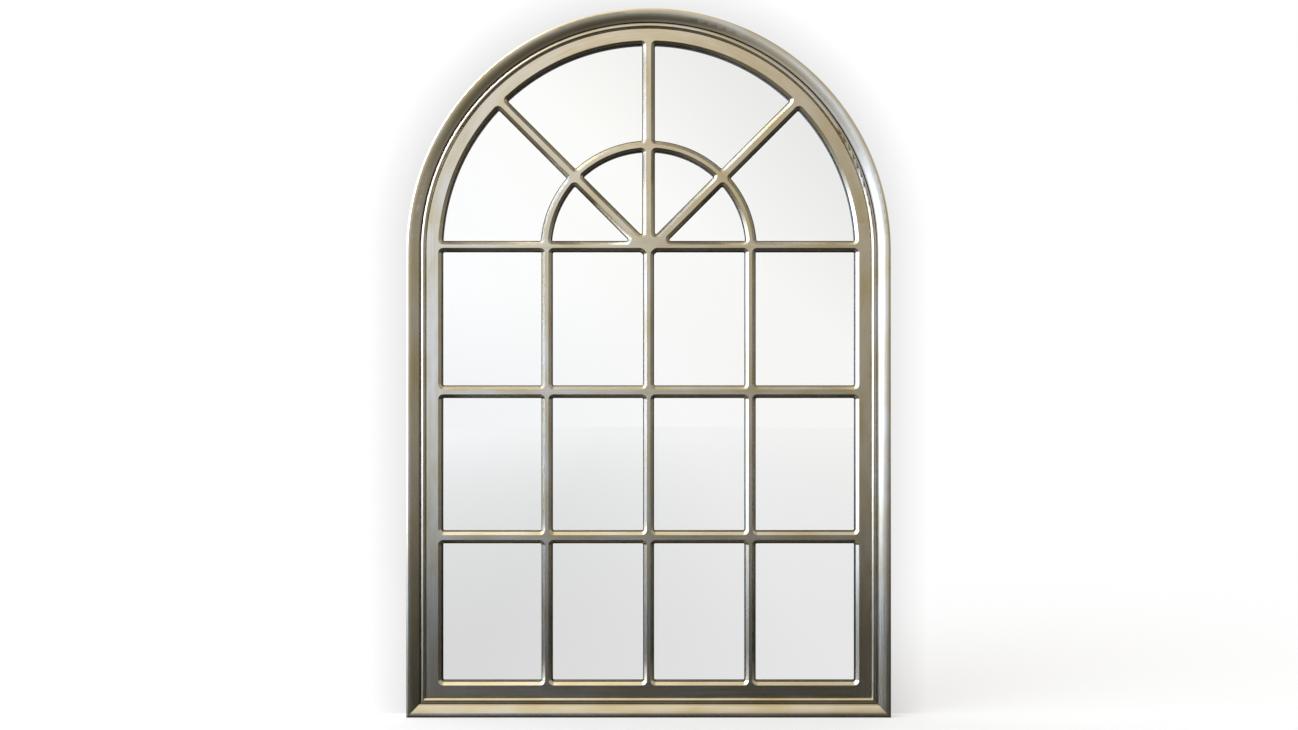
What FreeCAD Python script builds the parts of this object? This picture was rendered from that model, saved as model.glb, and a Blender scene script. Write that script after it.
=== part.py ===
"""Arched window mirror: a moulded wooden frame with a semicircular head, a lattice of bevelled bars let
into its face, one sheet of mirror glass behind the lattice, and a screwed back with two D-ring hangers.

Sizes are in millimetres. Every sub-part is drawn about the centre that the arch is struck from, with X to
the right, Z up and the back of the wooden frame at Y = 0, the face towards -Y. The finished sub-parts are
then moved together, so that the origin is the middle of the mirror's outline on the wall's surface.
"""
import FreeCAD, Part
import math
import os
import re

import Sketcher
from FreeCAD import Placement, Rotation, Vector

os.makedirs("parts", exist_ok=True)
doc = FreeCAD.newDocument("ArchedWindowMirror")

# ---------------------------------------------------------------------------------------------------------
# Driving dimensions. Margins are measured inwards from the outline of the frame.
# ---------------------------------------------------------------------------------------------------------
DIMENSIONS = {
    "frame_width": (900, "overall width over the stiles; the head is half a circle of this diameter"),
    "frame_height": (1317, "overall height, foot of the bottom rail to the crown"),
    # Section of the outer moulding
    "crest_height": (30, "back of the frame to the crest of the bead"),
    "edge_radius": (4.5, "roundness of the bead's outer edge, up to its crest"),
    "bead_radius": (30, "roundness of the bead from its crest inwards"),
    "bead_slope": (29, "degrees of slope where the bead ends and the cove begins"),
    "cove_slope": (8, "degrees of slope left where the cove ends"),
    "bead_width": (25, "outline to the quirk between the bead and the reeds"),
    "quirk_width": (0.6, "width of that quirk"),
    "reed_foot": (20, "height of the reeds' outer foot above the back"),
    "reed_radius": (2.6, "roundness of the small outer reed"),
    "reed_joint": (28.2, "margin of the crease between the two reeds"),
    "reed_joint_height": (22.4, "height of that crease above the back"),
    "main_reed_radius": (4.4, "roundness of the larger inner reed"),
    "seat_margin": (35, "outline to the front rabbet that the lattice sits in"),
    "seat_height": (17.5, "height of the rim of the front rabbet above the back"),
    "ledge_margin": (56, "outline to the inner edge of the ledge under the lattice"),
    "ledge_thickness": (4, "thickness of that ledge"),
    "rabbet_margin": (44, "outline to the wall of the back rabbet that holds the glass"),
    "rabbet_depth": (7, "depth of the back rabbet: glass and interleaf"),
    # Joints of the outer moulding
    "head_joint_rise": (30.5, "springing line to the joints between the head and the stiles"),
    "mitre_reach": (60, "height over which the bottom corners are mitred"),
    "dowel_radius": (4, "dowels in the head joints"),
    "dowel_length": (40, "length of those dowels"),
    "dowel_height": (9, "height of the dowels' axes above the back"),
    "outer_dowel_margin": (14, "margin of the outer dowel of each pair"),
    "inner_dowel_margin": (28, "margin of the inner dowel of each pair"),
    "dowel_clearance": (0.05, "room round a dowel"),
    "biscuit_length": (47, "length of the biscuits in the mitres"),
    "biscuit_width": (15.5, "width of the biscuits in the mitres"),
    "biscuit_thickness": (4, "thickness of those biscuits"),
    "biscuit_margin": (22, "margin of their middles from both outer edges"),
    "biscuit_height": (7, "height of their back faces above the back of the frame"),
    "biscuit_clearance": (0.1, "room round a biscuit"),
    # Lattice
    "lattice_thickness": (12, "thickness of the boards that the lattice is made of"),
    "lattice_gap": (0.3, "glue gap between the lattice and the moulding"),
    "face_edge": (1.5, "small bevel on the lattice's outer edge"),
    "opening_margin": (65.5, "outline to the sight edge of the glass"),
    "bar_width": (20.5, "width at the glass of an upright bar, the fan's ring and the bar under the fan"),
    "broad_bar_width": (23.5, "width at the glass of a crossbar and of a spoke"),
    "bar_anchor": (3, "how far the bars reach into the bands when the face is drawn as one"),
    "bevel": (7.2, "width and depth of the bevel round each pane"),
    "pane_corner": (2.5, "corner radius of a pane at the glass"),
    "spring_bar_rise": (8.5, "springing line to the middle of the bar under the fan"),
    "crossbar_pitch": (271, "distance between the middles of the horizontal bars"),
    "column_pitch": (189.5, "distance between the middles of the upright bars"),
    "fan_ring_radius": (191.5, "mean radius of the half ring in the fan"),
    "fan_ring_rise": (4, "springing line to the middle that the half ring is struck from"),
    "hub_radius": (47, "arch centre to the joints between the hub and the spokes"),
    "band_joint_rise": (51, "springing line to the joints between the arched and the upright bands"),
    "lap_depth": (4.5, "thickness of the hidden tongues and half laps, at the back of the boards"),
    "lap_length": (11, "length of the tongues"),
    # Filling of the back rabbet
    "glass_margin": (45, "outline to the edge of the glass and of the interleaf"),
    "glass_thickness": (4, "mirror glass"),
    "pad_length": (40, "length of the pads under the glass"),
    "pad_distance": (220, "distance of the pads from the middle"),
    "pad_inset": (0.5, "how far the pads stay inside the glass's thickness on each side"),
    # Back panel and its screws
    "panel_thickness": (3, "hardboard back panel"),
    "panel_margin": (12, "outline to the edge of the back panel"),
    "screw_margin": (28, "outline to the axes of the back panel's screws"),
    "screw_shank_radius": (1.75, "wood screws of 3.5 mm"),
    "screw_head_radius": (3.4, "their round heads"),
    "screw_dome_radius": (4, "roundness of the heads"),
    "screw_tip_length": (3, "pointed end of the screws"),
    "screw_tip_radius": (0.3, "blunt point of the screws"),
    "panel_screw_length": (16, "length under the head of the back panel's screws"),
    "hanger_screw_length": (20, "length under the head of the hangers' screws"),
    "slot_width": (0.9, "width of the arms of the cross recess"),
    "slot_length": (4, "span of the cross recess"),
    "slot_depth": (1.1, "depth of the cross recess"),
    "pilot_clearance": (0.05, "room round a screw in its bore"),
    # Hangers
    "hanger_offset": (422, "middle of the mirror to the middle of each hanger"),
    "hanger_drop": (60, "springing line down to the axes of the hangers' rings"),
    "strap_thickness": (1.2, "steel strap"),
    "strap_width": (19, "width of the strap and of its curl"),
    "strap_length": (49, "ring's axis to the lower screw, where the strap's round end is struck"),
    "upper_screw_drop": (31, "ring's axis to the upper screw"),
    "curl_radius": (2.75, "outside of the curl that holds the ring"),
    "hinge_height": (3.1, "ring's axis above the back panel"),
    "wire_radius": (1.5, "wire of the ring"),
    "wire_clearance": (0.05, "room round the wire in the curl"),
    "ring_bend": (3.5, "radius of the ring's two tight bends"),
    "ring_leg": (4, "straight legs of the ring"),
    "ring_radius": (13.5, "mean radius of the ring's bow"),
    # Bumpers
    "bumper_height": (6, "rubber bumpers on the back panel; they meet the wall"),
    "bumper_radius": (7, "their radius on the panel"),
    "bumper_tip_radius": (5.5, "their radius at the wall"),
    "bumper_margin": (30, "outline to their middles"),
}
COLUMNS = {"left": -1, "centre": 0, "right": 1}
SIDES = {"left": -1, "right": 1}
SPOKES = {"left_spoke": 135, "centre_spoke": 90, "right_spoke": 45}
CROSSBARS = {"upper_crossbar": 1, "lower_crossbar": 2}
HEAD_SCREW_ANGLES = (18, 42, 66, 90, 114, 138, 162)
STILE_SCREW_DROPS = (20, 200, 380, 560, 740)
RAIL_SCREW_PLACES = (-280, 0, 280)
HEAD_BUMPER_ANGLE = 52

sheet = doc.addObject("Spreadsheet::Sheet", "Dims")
for row, (alias, (size, meaning)) in enumerate(DIMENSIONS.items(), start=1):
    sheet.set(f"A{row}", meaning)
    sheet.set(f"B{row}", str(size))
    sheet.setAlias(f"B{row}", alias)
doc.recompute()

# Heights and depths that several sub-parts share, in terms of the driving dimensions
HALF_WIDTH = "frame_width / 2"
FOOT = "(frame_width / 2 - frame_height)"
FACE = "-(rabbet_depth + lattice_thickness)"
GLASS_FRONT = "-rabbet_depth"
LAP_FRONT = "-(rabbet_depth + lap_depth)"
PANEL_BACK = "panel_thickness"
SEAM_MARGIN = "(opening_margin + pane_corner)"
HALF_BAR = "bar_width / 2"
HALF_BROAD_BAR = "broad_bar_width / 2"
HALF_BLOCK = "(bar_width / 2 + pane_corner)"
HALF_BROAD_BLOCK = "(broad_bar_width / 2 + pane_corner)"
BEYOND = 1.0


def bound(expression):
    """The expression with each driving dimension's name pointed at its cell."""
    return re.sub(
        r"[a-z_]+",
        lambda word: f"Dims.{word.group()}" if word.group() in DIMENSIONS else word.group(),
        str(expression),
    )


def number(expression):
    """The present value of an expression of driving dimensions."""
    return float(sheet.evalExpression(bound(expression)))


def bind(thing, **expressions):
    """Tie properties of an object to expressions; Base_x stands for Placement.Base.x."""
    for name, expression in expressions.items():
        thing.setExpression(name.replace("Base_", "Placement.Base."), bound(expression))
    return thing


# ---------------------------------------------------------------------------------------------------------
# Small vocabulary of shapes
# ---------------------------------------------------------------------------------------------------------
def block(name, x, y, z):
    """A box between two planes along each axis, each given as (low, high)."""
    box = doc.addObject("Part::Box", name)
    bind(box, Base_x=x[0], Base_y=y[0], Base_z=z[0])
    length, width, height = (f"({high}) - ({low})" for low, high in (x, y, z))
    return bind(box, Length=length, Width=width, Height=height)


def disc(name, radius, y, x="0", z="0"):
    """A round bar along Y between two planes."""
    cylinder = doc.addObject("Part::Cylinder", name)
    cylinder.Placement = Placement(Vector(), Rotation(Vector(1, 0, 0), -90))
    bind(cylinder, Base_x=x, Base_y=y[0], Base_z=z)
    return bind(cylinder, Radius=radius, Height=f"({y[1]}) - ({y[0]})")


def cross_pin(name, radius, half_length, x, y, z):
    """A round bar along X, centred on x."""
    cylinder = doc.addObject("Part::Cylinder", name)
    cylinder.Placement = Placement(Vector(), Rotation(Vector(0, 1, 0), 90))
    bind(cylinder, Base_x=f"({x}) - ({half_length})", Base_y=y, Base_z=z)
    return bind(cylinder, Radius=radius, Height=f"2 * ({half_length})")


def radial_block(name, angle, radius, y, half_width):
    """A box that runs outwards from the arch centre at an angle, between two distances."""
    box = doc.addObject("Part::Box", name)
    box.Placement = Placement(Vector(), Rotation(Vector(0, 1, 0), -angle))
    inner, outer = radius
    bind(
        box,
        Base_x=f"({inner}) * cos({angle}) + {half_width} * sin({angle})",
        Base_y=y[0],
        Base_z=f"({inner}) * sin({angle}) - {half_width} * cos({angle})",
    )
    length, width = f"({outer}) - ({inner})", f"({y[1]}) - ({y[0]})"
    return bind(box, Length=length, Width=width, Height=f"2 * {half_width}")


def fuse(name, *shapes):
    joined = doc.addObject("Part::MultiFuse", name)
    joined.Shapes = list(shapes)
    joined.Refine = True
    return joined


def cut(name, base, tool):
    rest = doc.addObject("Part::Cut", name)
    rest.Base = base
    rest.Tool = tool
    return rest


def common(name, *shapes):
    shared = doc.addObject("Part::MultiCommon", name)
    shared.Shapes = list(shapes)
    return shared


def compound(name, things):
    group = doc.addObject("Part::Compound", name)
    group.Links = list(things)
    return group


def arched_slab(name, margin, y):
    """The outline of the frame, drawn in by a margin, between two planes along Y."""
    head = disc(f"{name}_head", f"{HALF_WIDTH} - ({margin})", y)
    side = f"{HALF_WIDTH} - ({margin})"
    legs = block(f"{name}_legs", (f"-({side})", side), y, (f"{FOOT} + ({margin})", "0"))
    return fuse(name, head, legs)


def origin_plane(body, role):
    return next(feature for feature in body.Origin.OriginFeatures if feature.Role == role)


SUB_PARTS = {}


def sub_part(name, thing):
    """Name a finished piece and remember it."""
    thing.Label = name
    SUB_PARTS[name] = thing
    return thing


# ---------------------------------------------------------------------------------------------------------
# Outer moulding: a bead and a cove, two reeds, a front rabbet for the lattice, a back rabbet for the glass
# ---------------------------------------------------------------------------------------------------------
BEAD_END = (
    "(edge_radius + bead_radius * sin(bead_slope))",
    "crest_height - bead_radius * (1 - cos(bead_slope))",
)
COVE_RADIUS = f"((bead_width - {BEAD_END[0]}) / (sin(bead_slope) - sin(cove_slope)))"
COVE_END = ("bead_width", f"{BEAD_END[1]} - {COVE_RADIUS} * (cos(cove_slope) - cos(bead_slope))")

# Each corner: margin, height above the back, and the radius of the edge that leaves it. A positive radius
# bulges out of the wood, a negative one is hollow, and None is straight.
MOULDING_SECTION = (
    ("0", "0", None),
    ("0", "crest_height - edge_radius", "edge_radius"),
    ("edge_radius", "crest_height", "bead_radius"),
    (*BEAD_END, f"-{COVE_RADIUS}"),
    (*COVE_END, None),
    ("bead_width + quirk_width", "reed_foot", "reed_radius"),
    ("reed_joint", "reed_joint_height", "main_reed_radius"),
    ("seat_margin", "seat_height", None),
    ("seat_margin", "rabbet_depth + ledge_thickness", None),
    ("ledge_margin", "rabbet_depth + ledge_thickness", None),
    ("ledge_margin", "rabbet_depth", None),
    ("rabbet_margin", "rabbet_depth", None),
    ("rabbet_margin", "0", None),
)


def section_arc(start, end, radius):
    """An arc between two corners, and whether it runs from the first to the second counterclockwise."""
    half_chord = (end - start) * 0.5
    left = Vector(-half_chord.y, half_chord.x, 0).normalize()
    rise = math.sqrt(radius**2 - half_chord.Length**2)
    centre = start + half_chord - left * math.copysign(rise, radius)
    angles = [math.atan2(corner.y - centre.y, corner.x - centre.x) for corner in (start, end)]
    forwards = radius < 0
    first, last = angles if forwards else reversed(angles)
    circle = Part.Circle(centre, Vector(0, 0, 1), abs(radius))
    return Part.ArcOfCircle(circle, first, last), forwards


def moulding_sketch(body, role, place):
    """The moulding's section in one of a body's own planes; place turns margin and height into x and y."""
    sketch = body.newObject("Sketcher::SketchObject", f"{body.Name}_section")
    sketch.AttachmentSupport = [(origin_plane(body, role), "")]
    sketch.MapMode = "FlatFace"
    corners = [place(margin, height) for margin, height, _ in MOULDING_SECTION]
    points = [Vector(number(x), number(y), 0) for x, y in corners]
    ends = []
    for index, (_, _, radius) in enumerate(MOULDING_SECTION):
        start, end = points[index], points[(index + 1) % len(points)]
        if radius is None:
            edge = sketch.addGeometry(Part.LineSegment(start, end))
            ends.append((edge, 1, 2))
            continue
        arc, forwards = section_arc(start, end, number(radius))
        edge = sketch.addGeometry(arc)
        ends.append((edge, 1, 2) if forwards else (edge, 2, 1))
    for index, (edge, _, tail) in enumerate(ends):
        following, head, _ = ends[(index + 1) % len(ends)]
        sketch.addConstraint(Sketcher.Constraint("Coincident", edge, tail, following, head))
    for (edge, head, _), (x, y), point, (_, _, radius) in zip(ends, corners, points, MOULDING_SECTION):
        across = sketch.addConstraint(Sketcher.Constraint("DistanceX", -1, 1, edge, head, point.x))
        sketch.setExpression(f"Constraints[{across}]", bound(x))
        along = sketch.addConstraint(Sketcher.Constraint("DistanceY", -1, 1, edge, head, point.y))
        sketch.setExpression(f"Constraints[{along}]", bound(y))
        if radius is not None:
            bend = sketch.addConstraint(Sketcher.Constraint("Radius", edge, abs(number(radius))))
            sketch.setExpression(f"Constraints[{bend}]", bound(f"abs({radius})"))
    return sketch


def build_hoop():
    """The moulding of the head and both stiles in one sweep, before it is cut at its joints."""
    body = doc.addObject("PartDesign::Body", "hoop")
    section = moulding_sketch(
        body,
        "XY_Plane",
        lambda margin, height: (f"{HALF_WIDTH} - ({margin})", f"-({height})"),
    )
    head = body.newObject("PartDesign::Revolution", "hoop_head")
    head.Profile = section
    head.ReferenceAxis = (section, ["V_Axis"])
    head.Angle = 180
    head.Reversed = True
    leg = body.newObject("PartDesign::Pad", "hoop_right_leg")
    leg.Profile = section
    leg.Reversed = True
    bind(leg, Length="frame_height - frame_width / 2")
    other_leg = body.newObject("PartDesign::Mirrored", "hoop_left_leg")
    other_leg.Originals = [leg]
    other_leg.MirrorPlane = (origin_plane(body, "YZ_Plane"), [""])
    body.Tip = other_leg
    return body


def build_rail_stock():
    """The moulding of the bottom rail, before its ends are mitred."""
    body = doc.addObject("PartDesign::Body", "rail_stock")
    section = moulding_sketch(
        body,
        "YZ_Plane",
        lambda margin, height: (f"-({height})", f"({margin}) + {FOOT}"),
    )
    rail = body.newObject("PartDesign::Pad", "rail_length")
    rail.Profile = section
    rail.Midplane = True
    bind(rail, Length="frame_width")
    return body


def mitre_space():
    """The room of the bottom rail: it narrows upwards at 45 degrees from both bottom corners."""
    wedge = doc.addObject("Part::Wedge", "mitre_space")
    wedge.Placement = Placement(Vector(), Rotation(Vector(1, 0, 0), 90))
    short = f"{HALF_WIDTH} - mitre_reach"
    bind(wedge, Xmin=f"-{HALF_WIDTH}", Xmax=HALF_WIDTH, X2min=f"-({short})", X2max=short)
    bind(wedge, Ymin=FOOT, Ymax=f"{FOOT} + mitre_reach")
    for depth in ("Z", "Z2"):
        bind(wedge, **{f"{depth}min": -BEYOND, f"{depth}max": f"crest_height + {BEYOND}"})
    return wedge


def joint_dowel(name, side, margin, room):
    """A dowel across a head joint, or its bore when there is room round it."""
    dowel = doc.addObject("Part::Cylinder", name)
    length = f"(dowel_length + 2 * {room})"
    bind(dowel, Radius=f"dowel_radius + {room}", Height=length)
    bind(
        dowel,
        Base_x=f"{side} * ({HALF_WIDTH} - {margin})",
        Base_y="-dowel_height",
        Base_z=f"head_joint_rise - {length} / 2",
    )
    return dowel


def corner_biscuit(name, side, room):
    """A lens-shaped biscuit across a mitre, or its slot when there is room round it."""
    half_length = f"(biscuit_length / 2 + {room})"
    half_width = f"(biscuit_width / 2 + {room})"
    arc_radius = f"(({half_length}^2 + {half_width}^2) / (2 * {half_width}))"
    shift = f"({arc_radius} - {half_width}) * cos(45)"
    depth = (f"-(biscuit_height + biscuit_thickness + {room})", f"-(biscuit_height - {room})")
    x = f"{side} * ({HALF_WIDTH} - biscuit_margin)"
    z = f"{FOOT} + biscuit_margin"
    below = disc(f"{name}_below", arc_radius, depth, f"{x} - {side} * {shift}", f"{z} - {shift}")
    above = disc(f"{name}_above", arc_radius, depth, f"{x} + {side} * {shift}", f"{z} + {shift}")
    return common(name, below, above)


# ---------------------------------------------------------------------------------------------------------
# Screws: one of each length is drawn along Z with the underside of its head at Z = 0
# ---------------------------------------------------------------------------------------------------------
def build_screw(name, length):
    shank = doc.addObject("Part::Cylinder", f"{name}_shank")
    bind(shank, Radius="screw_shank_radius", Height=f"{length} - screw_tip_length")
    bind(shank, Base_z=f"screw_tip_length - {length}")
    tip = doc.addObject("Part::Cone", f"{name}_tip")
    bind(tip, Radius1="screw_tip_radius", Radius2="screw_shank_radius", Height="screw_tip_length")
    bind(tip, Base_z=f"-{length}")
    dome_base = "sqrt(screw_dome_radius^2 - screw_head_radius^2)"
    dome = doc.addObject("Part::Sphere", f"{name}_dome")
    dome.Angle2 = 90
    bind(dome, Radius="screw_dome_radius", Angle1="acos(screw_head_radius / screw_dome_radius)")
    bind(dome, Base_z=f"-{dome_base}")
    half_slot, half_span = "slot_width / 2", "slot_length / 2"
    recess = (f"screw_dome_radius - {dome_base} - slot_depth", "screw_dome_radius")
    arms = [
        block(f"{name}_arm_{index}", (f"-{x}", x), (f"-{y}", y), recess)
        for index, (x, y) in enumerate(((half_slot, half_span), (half_span, half_slot)))
    ]
    return cut(name, fuse(f"{name}_blank", shank, tip, dome), fuse(f"{name}_recess", *arms))


def copies(name, master, places, y):
    """The master turned to point along -Y, once at each (x, z)."""
    links = []
    for index, (x, z) in enumerate(places):
        link = doc.addObject("App::Link", f"{name}_{index}")
        link.LinkedObject = master
        link.LinkPlacement = Placement(Vector(), Rotation(Vector(1, 0, 0), -90))
        for axis, expression in (("x", x), ("y", y), ("z", z)):
            link.setExpression(f"LinkPlacement.Base.{axis}", bound(expression))
        links.append(link)
    return links


def bores(name, places, radius, y):
    """Round holes along Y, one at each (x, z)."""
    return [disc(f"{name}_{index}", radius, y, x, z) for index, (x, z) in enumerate(places)]


def panel_screw_places():
    arc_radius = f"({HALF_WIDTH} - screw_margin)"
    places = [
        (f"{arc_radius} * cos({angle})", f"{arc_radius} * sin({angle})")
        for angle in HEAD_SCREW_ANGLES
    ]
    for side in SIDES.values():
        places += [(f"{side} * {arc_radius}", f"-{drop}") for drop in STILE_SCREW_DROPS]
    return places + [(f"{x}", f"{FOOT} + screw_margin") for x in RAIL_SCREW_PLACES]


def hanger_screw_places():
    return [
        (f"{side} * hanger_offset", f"-(hanger_drop + {drop})")
        for side in SIDES.values()
        for drop in ("upper_screw_drop", "strap_length")
    ]


# ---------------------------------------------------------------------------------------------------------
# Outer moulding, cut at its joints and bored
# ---------------------------------------------------------------------------------------------------------
def build_moulding():
    hoop = build_hoop()
    mitre = mitre_space()
    wide = (f"-{HALF_WIDTH} - {BEYOND}", f"{HALF_WIDTH} + {BEYOND}")
    deep = (f"-crest_height - {BEYOND}", BEYOND)
    margins = {"outer": "outer_dowel_margin", "inner": "inner_dowel_margin"}
    dowels, slots, holes = [], [], []
    for side_name, side in SIDES.items():
        for place, margin in margins.items():
            dowels.append(joint_dowel(f"{side_name}_{place}_dowel", side, margin, "0"))
            holes.append(joint_dowel(f"{side_name}_{place}_bore", side, margin, "dowel_clearance"))
        slots.append(corner_biscuit(f"{side_name}_slot", side, "biscuit_clearance"))
    bore_radius = "screw_shank_radius + pilot_clearance"
    panel_bores = (f"panel_thickness - panel_screw_length - {BEYOND}", BEYOND)
    hanger_bores = (f"panel_thickness + strap_thickness - hanger_screw_length - {BEYOND}", BEYOND)
    holes += bores("panel_pilot", panel_screw_places(), bore_radius, panel_bores)
    holes += bores("hanger_pilot", hanger_screw_places(), bore_radius, hanger_bores)
    wood_removed = compound("wood_removed", holes + slots)

    head = common("head_moulding", hoop, block("above_joint", wide, deep, ("head_joint_rise", HALF_WIDTH)))
    sub_part("outer_arch", cut("outer_arch", head, wood_removed))
    for side_name, side in SIDES.items():
        half = (wide[0], "0") if side < 0 else ("0", wide[1])
        below = block(f"{side_name}_below_joint", half, deep, (FOOT, "head_joint_rise"))
        leg = common(f"{side_name}_leg", hoop, below)
        mitred = cut(f"{side_name}_leg_mitred", leg, mitre)
        sub_part(f"{side_name}_stile", cut(f"{side_name}_stile", mitred, wood_removed))
    rail = common("rail_mitred", build_rail_stock(), mitre)
    sub_part("bottom_rail", cut("bottom_rail", rail, wood_removed))
    sub_part("joint_dowels", compound("joint_dowels", dowels))
    biscuits = [corner_biscuit(f"{name}_biscuit", side, "0") for name, side in SIDES.items()]
    sub_part("corner_biscuits", compound("corner_biscuits", biscuits))


# ---------------------------------------------------------------------------------------------------------
# Lattice. The boards are glued up first and the panes' edges are rounded and bevelled afterwards, so the
# whole face is drawn first and then divided at its joints.
# ---------------------------------------------------------------------------------------------------------
THROUGH = (FACE, GLASS_FRONT)
THROUGH_AND_PAST = (f"{FACE} - {BEYOND}", f"{GLASS_FRONT} + {BEYOND}")
FRONT_LAP = (f"{FACE} - {BEYOND}", LAP_FRONT)
BACK_LAP = (LAP_FRONT, GLASS_FRONT)
BACK_LAP_AND_PAST = (LAP_FRONT, f"{GLASS_FRONT} + {BEYOND}")
RIM_ANCHOR = "(opening_margin - bar_anchor)"


def column(side):
    return f"({side} * column_pitch)"


def crossbar_height(count):
    return f"(spring_bar_rise - {count} * crossbar_pitch)"


def around(middle, half):
    return (f"{middle} - {half}", f"{middle} + {half}")


def ring_blank(name, half, y):
    """A whole ring about the middle that the fan's half ring is struck from."""
    outside = disc(f"{name}_outside", f"fan_ring_radius + {half}", y, z="fan_ring_rise")
    inside = disc(f"{name}_inside", f"fan_ring_radius - {half}", y, z="fan_ring_rise")
    return cut(name, outside, inside)


def build_whole_lattice():
    over_ledge = ("-(rabbet_depth + lattice_thickness)", "-(rabbet_depth + ledge_thickness)")
    under_ledge = ("-(rabbet_depth + ledge_thickness)", GLASS_FRONT)
    plate = fuse(
        "lattice_plate",
        arched_slab("plate_over_ledge", "seat_margin + lattice_gap", over_ledge),
        arched_slab("plate_inside_ledge", "ledge_margin + lattice_gap", under_ledge),
    )
    rim = cut("lattice_rim", plate, arched_slab("lattice_opening", "opening_margin", THROUGH))
    reach = f"{HALF_WIDTH} - {RIM_ANCHOR}"
    across = (f"-({reach})", reach)
    bars = [block("spring_bar_blank", across, THROUGH, around("spring_bar_rise", HALF_BAR))]
    for name, count in CROSSBARS.items():
        bars.append(block(f"{name}_blank", across, THROUGH, around(crossbar_height(count), HALF_BROAD_BAR)))
    for name, side in COLUMNS.items():
        upright = (f"{FOOT} + {RIM_ANCHOR}", "spring_bar_rise")
        bars.append(block(f"{name}_muntin_blank", around(column(side), HALF_BAR), THROUGH, upright))
    for name, angle in SPOKES.items():
        bars.append(radial_block(f"{name}_blank", angle, ("0", reach), THROUGH, HALF_BROAD_BAR))
    ring = ring_blank("ring_blank", HALF_BAR, THROUGH)
    above = block("above_spring_bar", across, THROUGH, ("spring_bar_rise", reach))
    bars.append(common("half_ring_blank", ring, above))
    blank = fuse("lattice_blank", rim, *bars)
    doc.recompute()

    rounded = doc.addObject("Part::Fillet", "lattice_corners")
    rounded.Base = blank
    radius = number("pane_corner")
    rounded.Edges = [(index, radius, radius) for index in pane_corner_edges(blank.Shape)]
    doc.recompute()

    bevelled = doc.addObject("Part::Chamfer", "lattice_bevelled")
    bevelled.Base = rounded
    bevelled.Edges = face_edges(rounded.Shape)
    doc.recompute()
    return bevelled


SAME_PLACE = 1e-4


def margin_of(point):
    """How far a point lies inside the frame's outline."""
    side = number(HALF_WIDTH)
    if point.z > 0:
        return side - math.hypot(point.x, point.z)
    return min(side - abs(point.x), point.z - number(FOOT))


def pane_corner_edges(shape):
    """The edges that run straight through the boards, where two sides of a pane meet."""
    thickness = number("lattice_thickness")
    found = []
    for index, edge in enumerate(shape.Edges, start=1):
        start, end = edge.Vertexes[0].Point, edge.Vertexes[-1].Point
        runs_through = abs(abs(start.y - end.y) - thickness) < SAME_PLACE
        if runs_through and start.distanceToPoint(end) < thickness + SAME_PLACE:
            found.append(index)
    return found


def face_edges(shape):
    """Every edge of the face with its bevel: wide round the panes, narrow along the outline."""
    face = number(FACE)
    found = []
    for index, edge in enumerate(shape.Edges, start=1):
        middle = edge.valueAt((edge.FirstParameter + edge.LastParameter) / 2)
        lies_in_face = all(abs(vertex.Y - face) < SAME_PLACE for vertex in edge.Vertexes)
        if not lies_in_face or abs(middle.y - face) > SAME_PLACE:
            continue
        beside_pane = margin_of(middle) > number("ledge_margin")
        width = number("bevel") if beside_pane else number("face_edge")
        found.append((index, width, width))
    return found


def crossing_block(name, side, count, y):
    height = around(crossbar_height(count), HALF_BROAD_BLOCK)
    return block(name, around(column(side), HALF_BLOCK), y, height)


def side_tongue(name, side, height, half):
    """The hidden end of a horizontal bar, let into the back of the band beside it."""
    seam = f"{HALF_WIDTH} - {SEAM_MARGIN}"
    end = f"{seam} + lap_length"
    x = (f"-({end})", f"-({seam} - {BEYOND})") if side < 0 else (f"{seam} - {BEYOND}", end)
    return block(name, x, BACK_LAP, around(height, half))


def without(name, base, tools):
    return cut(name, base, compound(f"{name}_taken", tools)) if tools else base


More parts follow.
